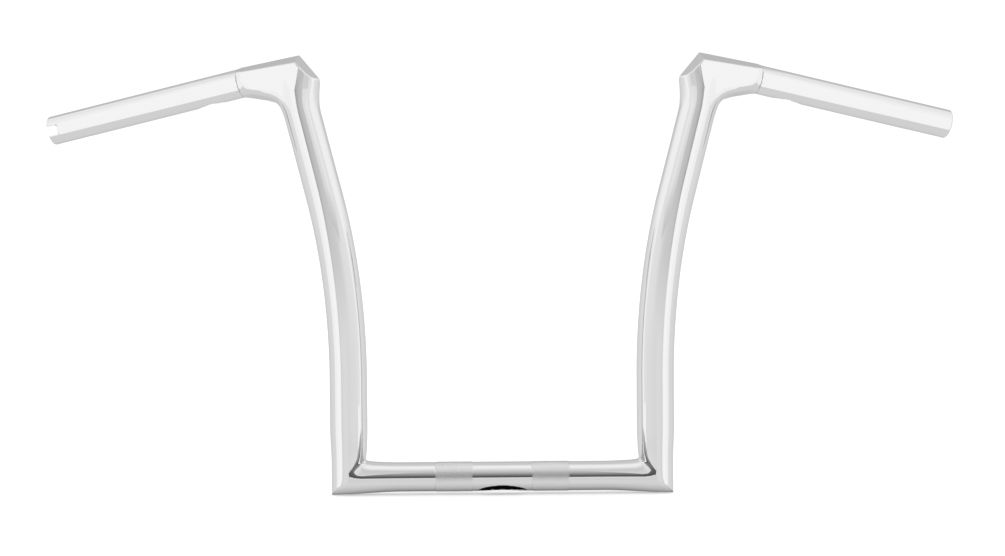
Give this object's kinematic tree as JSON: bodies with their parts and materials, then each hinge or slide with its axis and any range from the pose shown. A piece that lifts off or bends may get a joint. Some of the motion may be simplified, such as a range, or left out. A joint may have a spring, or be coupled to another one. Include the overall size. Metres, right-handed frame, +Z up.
{
  "type": "motorcycle handlebar",
  "caption": "Tall chromed steel motorcycle handlebar with mitred lower corners, curved risers, faceted pointed upper corners, swept grips and a knurled clamp tube.",
  "frame": {"origin": "middle of the clamp tube, on its axis", "axes": "+X toward the rider's left, +Y back toward the rider, +Z up along the straight lower risers"},
  "size_m": [0.8002, 0.1645, 0.3734],
  "materials": {
    "chrome": "polished chrome plate, knurled at the clamp seats"
  },
  "bodies": {
    "root": {"clamp_tube": "chrome", "lower_corner_left": "chrome", "lower_corner_right": "chrome", "riser_left": "chrome", "riser_right": "chrome", "upper_corner_left": "chrome", "upper_corner_right": "chrome", "grip_tube_left": "chrome", "grip_tube_right": "chrome"}
  },
  "joints": []
}
